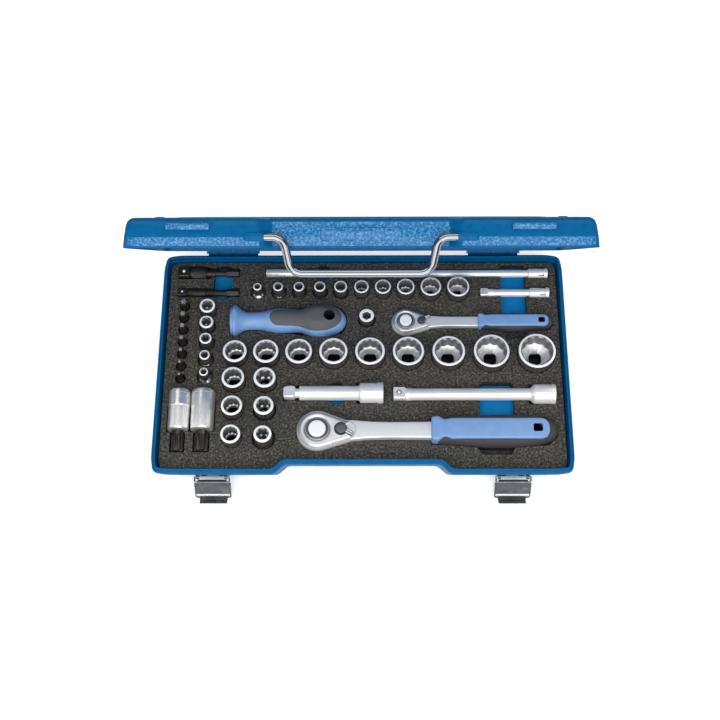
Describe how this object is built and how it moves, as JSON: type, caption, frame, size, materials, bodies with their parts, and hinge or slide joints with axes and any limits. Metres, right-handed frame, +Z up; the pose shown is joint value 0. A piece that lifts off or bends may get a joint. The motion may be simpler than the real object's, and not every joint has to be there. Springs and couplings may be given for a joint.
{
  "type": "socket wrench set in case",
  "caption": "Hinged steel case with a foam insert that holds two reversible ratchets, a spinner handle, extensions, adaptors, sockets and bits.",
  "frame": {"origin": "middle of the tray's underside, on the table", "axes": "+X along the case to the right, +Y to the hinges at the back, +Z up"},
  "size_m": [0.32, 0.2206, 0.2026],
  "materials": {
    "case_paint": "hammered blue enamel",
    "foam_dark": "speckled closed-cell foam",
    "foam_blue": "smooth closed-cell foam",
    "chrome": "bright chrome",
    "satin_chrome": "satin chrome",
    "nickel": "nickel plated",
    "black_steel": "black oxide",
    "grip_blue": "smooth satin",
    "grip_grey": "soft matt"
  },
  "bodies": {
    "case": {"case_tray": "case_paint", "foam_insert": "foam_dark", "foam_backing": "foam_blue", "tray_hinge_leaves": "case_paint", "hinge_pins": "nickel", "latch_brackets": "nickel"},
    "lid": {"case_lid": "case_paint", "lid_hinge_leaves": "case_paint", "handle_sockets": "case_paint"},
    "handle": {"carry_handle": "chrome"},
    "link_left": {"latch_link_left": "chrome"},
    "link_right": {"latch_link_right": "chrome"},
    "hook_left": {"latch_hook_left": "nickel"},
    "hook_right": {"latch_hook_right": "nickel"},
    "large_ratchet": {"large_ratchet_body": "satin_chrome", "large_ratchet_grip": "grip_blue", "large_ratchet_skin": "grip_grey"},
    "large_drive": {"large_ratchet_drive": "nickel"},
    "large_lever": {"large_ratchet_lever": "nickel"},
    "large_button": {"large_ratchet_button": "chrome"},
    "small_ratchet": {"small_ratchet_body": "satin_chrome", "small_ratchet_grip": "grip_blue", "small_ratchet_skin": "grip_grey"},
    "small_drive": {"small_ratchet_drive": "nickel"},
    "small_lever": {"small_ratchet_lever": "nickel"},
    "small_button": {"small_ratchet_button": "chrome"},
    "spinner": {"spinner_handle": "grip_blue", "spinner_insert": "grip_grey", "spinner_drive": "satin_chrome"},
    "large_long_extension": {"large_long_extension": "satin_chrome"},
    "large_short_extension": {"large_short_extension": "satin_chrome"},
    "small_long_extension": {"small_long_extension": "satin_chrome"},
    "small_short_extension": {"small_short_extension": "satin_chrome"},
    "bit_holder": {"bit_holder": "satin_chrome"},
    "quick_adaptor": {"quick_adaptor": "black_steel"},
    "adaptor_sleeve": {"quick_adaptor_sleeve": "black_steel"},
    "square_adaptor": {"square_adaptor": "black_steel"},
    "bit_adaptor": {"bit_adaptor": "satin_chrome"},
    "star_bits": {"star_bits": "black_steel"},
    "bit_socket_left": {"bit_socket_left": "satin_chrome", "star_tip_left": "black_steel"},
    "bit_socket_right": {"bit_socket_right": "satin_chrome", "star_tip_right": "black_steel"},
    "socket_13": {"socket_13": "satin_chrome"},
    "socket_14": {"socket_14": "satin_chrome"},
    "socket_15": {"socket_15": "satin_chrome"},
    "socket_16": {"socket_16": "satin_chrome"},
    "socket_17": {"socket_17": "satin_chrome"},
    "socket_18": {"socket_18": "satin_chrome"},
    "socket_19": {"socket_19": "satin_chrome"},
    "socket_21": {"socket_21": "satin_chrome"},
    "socket_22": {"socket_22": "satin_chrome"},
    "socket_12": {"socket_12": "satin_chrome"},
    "socket_11": {"socket_11": "satin_chrome"},
    "socket_10": {"socket_10": "satin_chrome"},
    "large_star_sockets": {"large_star_sockets": "satin_chrome"},
    "small_sockets": {"small_sockets": "satin_chrome"},
    "small_star_sockets": {"small_star_sockets": "satin_chrome"}
  },
  "joints": [
    {"name": "lid_hinge", "type": "hinge", "parent": "case", "child": "lid", "pos_m": [0, 0.0964, 0.0283], "axis": [-1, 0, 0], "range_deg": [-62, 38]},
    {"name": "handle_swing", "type": "hinge", "parent": "lid", "child": "handle", "pos_m": [0, 0.01558, 0.19542], "axis": [-1, 0, 0], "range_deg": [0, 150]},
    {"name": "link_left_swing", "type": "hinge", "parent": "case", "child": "link_left", "pos_m": [-0.114, -0.093, 0.0205], "axis": [-1, 0, 0], "range_deg": [0, 100]},
    {"name": "hook_left_swing", "type": "hinge", "parent": "link_left", "child": "hook_left", "pos_m": [-0.114, -0.09611, 0.01739], "axis": [-1, 0, 0], "range_deg": [0, 42]},
    {"name": "link_right_swing", "type": "hinge", "parent": "case", "child": "link_right", "pos_m": [0.114, -0.093, 0.0205], "axis": [-1, 0, 0], "range_deg": [0, 100]},
    {"name": "hook_right_swing", "type": "hinge", "parent": "link_right", "child": "hook_right", "pos_m": [0.114, -0.09611, 0.01739], "axis": [-1, 0, 0], "range_deg": [0, 42]},
    {"name": "large_ratchet_lift", "type": "slide", "parent": "case", "child": "large_ratchet", "axis": [0, 0, 1], "range_m": [0, 0.03]},
    {"name": "large_drive_turn", "type": "hinge", "parent": "large_ratchet", "child": "large_drive", "pos_m": [-0.0346, -0.0578, 0.024], "axis": [0, 0, 1], "continuous": true},
    {"name": "large_reverse_lever", "type": "hinge", "parent": "large_ratchet", "child": "large_lever", "pos_m": [-0.0164, -0.0578, 0.03], "axis": [0, 0, 1], "range_deg": [0, 56]},
    {"name": "large_release_button", "type": "slide", "parent": "large_drive", "child": "large_button", "axis": [0, 0, -1], "range_m": [0, 0.0015], "stiffness_N_per_m": 300, "springref_m": -0.001},
    {"name": "small_ratchet_lift", "type": "slide", "parent": "case", "child": "small_ratchet", "axis": [0, 0, 1], "range_m": [0, 0.03]},
    {"name": "small_drive_turn", "type": "hinge", "parent": "small_ratchet", "child": "small_drive", "pos_m": [0.0339, 0.034, 0.024], "axis": [0, 0, 1], "continuous": true},
    {"name": "small_reverse_lever", "type": "hinge", "parent": "small_ratchet", "child": "small_lever", "pos_m": [0.0467, 0.034, 0.03], "axis": [0, 0, 1], "range_deg": [-56, 0]},
    {"name": "small_release_button", "type": "slide", "parent": "small_drive", "child": "small_button", "axis": [0, 0, -1], "range_m": [0, 0.0015], "stiffness_N_per_m": 300, "springref_m": -0.001},
    {"name": "spinner_lift", "type": "slide", "parent": "case", "child": "spinner", "axis": [0, 0, 1], "range_m": [0, 0.03]},
    {"name": "large_long_extension_lift", "type": "slide", "parent": "case", "child": "large_long_extension", "axis": [0, 0, 1], "range_m": [0, 0.03]},
    {"name": "large_short_extension_lift", "type": "slide", "parent": "case", "child": "large_short_extension", "axis": [0, 0, 1], "range_m": [0, 0.03]},
    {"name": "small_long_extension_lift", "type": "slide", "parent": "case", "child": "small_long_extension", "axis": [0, 0, 1], "range_m": [0, 0.02]},
    {"name": "small_short_extension_lift", "type": "slide", "parent": "case", "child": "small_short_extension", "axis": [0, 0, 1], "range_m": [0, 0.02]},
    {"name": "bit_holder_lift", "type": "slide", "parent": "case", "child": "bit_holder", "axis": [0, 0, 1], "range_m": [0, 0.02]},
    {"name": "quick_adaptor_lift", "type": "slide", "parent": "case", "child": "quick_adaptor", "axis": [0, 0, 1], "range_m": [0, 0.02]},
    {"name": "square_adaptor_lift", "type": "slide", "parent": "case", "child": "square_adaptor", "axis": [0, 0, 1], "range_m": [0, 0.02]},
    {"name": "bit_adaptor_lift", "type": "slide", "parent": "case", "child": "bit_adaptor", "axis": [0, 0, 1], "range_m": [0, 0.03]},
    {"name": "star_bits_lift", "type": "slide", "parent": "case", "child": "star_bits", "axis": [0, 0, 1], "range_m": [0, 0.03]},
    {"name": "bit_socket_left_lift", "type": "slide", "parent": "case", "child": "bit_socket_left", "axis": [0, 0, 1], "range_m": [0, 0.03]},
    {"name": "bit_socket_right_lift", "type": "slide", "parent": "case", "child": "bit_socket_right", "axis": [0, 0, 1], "range_m": [0, 0.03]},
    {"name": "adaptor_sleeve_slide", "type": "slide", "parent": "quick_adaptor", "child": "adaptor_sleeve", "axis": [1, 0, 0], "range_m": [0, 0.002], "stiffness_N_per_m": 300, "springref_m": -0.001},
    {"name": "socket_13_lift", "type": "slide", "parent": "case", "child": "socket_13", "axis": [0, 0, 1], "range_m": [0, 0.03]},
    {"name": "socket_14_lift", "type": "slide", "parent": "case", "child": "socket_14", "axis": [0, 0, 1], "range_m": [0, 0.03]},
    {"name": "socket_15_lift", "type": "slide", "parent": "case", "child": "socket_15", "axis": [0, 0, 1], "range_m": [0, 0.03]},
    {"name": "socket_16_lift", "type": "slide", "parent": "case", "child": "socket_16", "axis": [0, 0, 1], "range_m": [0, 0.03]},
    {"name": "socket_17_lift", "type": "slide", "parent": "case", "child": "socket_17", "axis": [0, 0, 1], "range_m": [0, 0.03]},
    {"name": "socket_18_lift", "type": "slide", "parent": "case", "child": "socket_18", "axis": [0, 0, 1], "range_m": [0, 0.03]},
    {"name": "socket_19_lift", "type": "slide", "parent": "case", "child": "socket_19", "axis": [0, 0, 1], "range_m": [0, 0.03]},
    {"name": "socket_21_lift", "type": "slide", "parent": "case", "child": "socket_21", "axis": [0, 0, 1], "range_m": [0, 0.03]},
    {"name": "socket_22_lift", "type": "slide", "parent": "case", "child": "socket_22", "axis": [0, 0, 1], "range_m": [0, 0.03]},
    {"name": "socket_12_lift", "type": "slide", "parent": "case", "child": "socket_12", "axis": [0, 0, 1], "range_m": [0, 0.03]},
    {"name": "socket_11_lift", "type": "slide", "parent": "case", "child": "socket_11", "axis": [0, 0, 1], "range_m": [0, 0.03]},
    {"name": "socket_10_lift", "type": "slide", "parent": "case", "child": "socket_10", "axis": [0, 0, 1], "range_m": [0, 0.03]},
    {"name": "large_star_sockets_lift", "type": "slide", "parent": "case", "child": "large_star_sockets", "axis": [0, 0, 1], "range_m": [0, 0.03]},
    {"name": "small_sockets_lift", "type": "slide", "parent": "case", "child": "small_sockets", "axis": [0, 0, 1], "range_m": [0, 0.03]},
    {"name": "small_star_sockets_lift", "type": "slide", "parent": "case", "child": "small_star_sockets", "axis": [0, 0, 1], "range_m": [0, 0.03]}
  ]
}
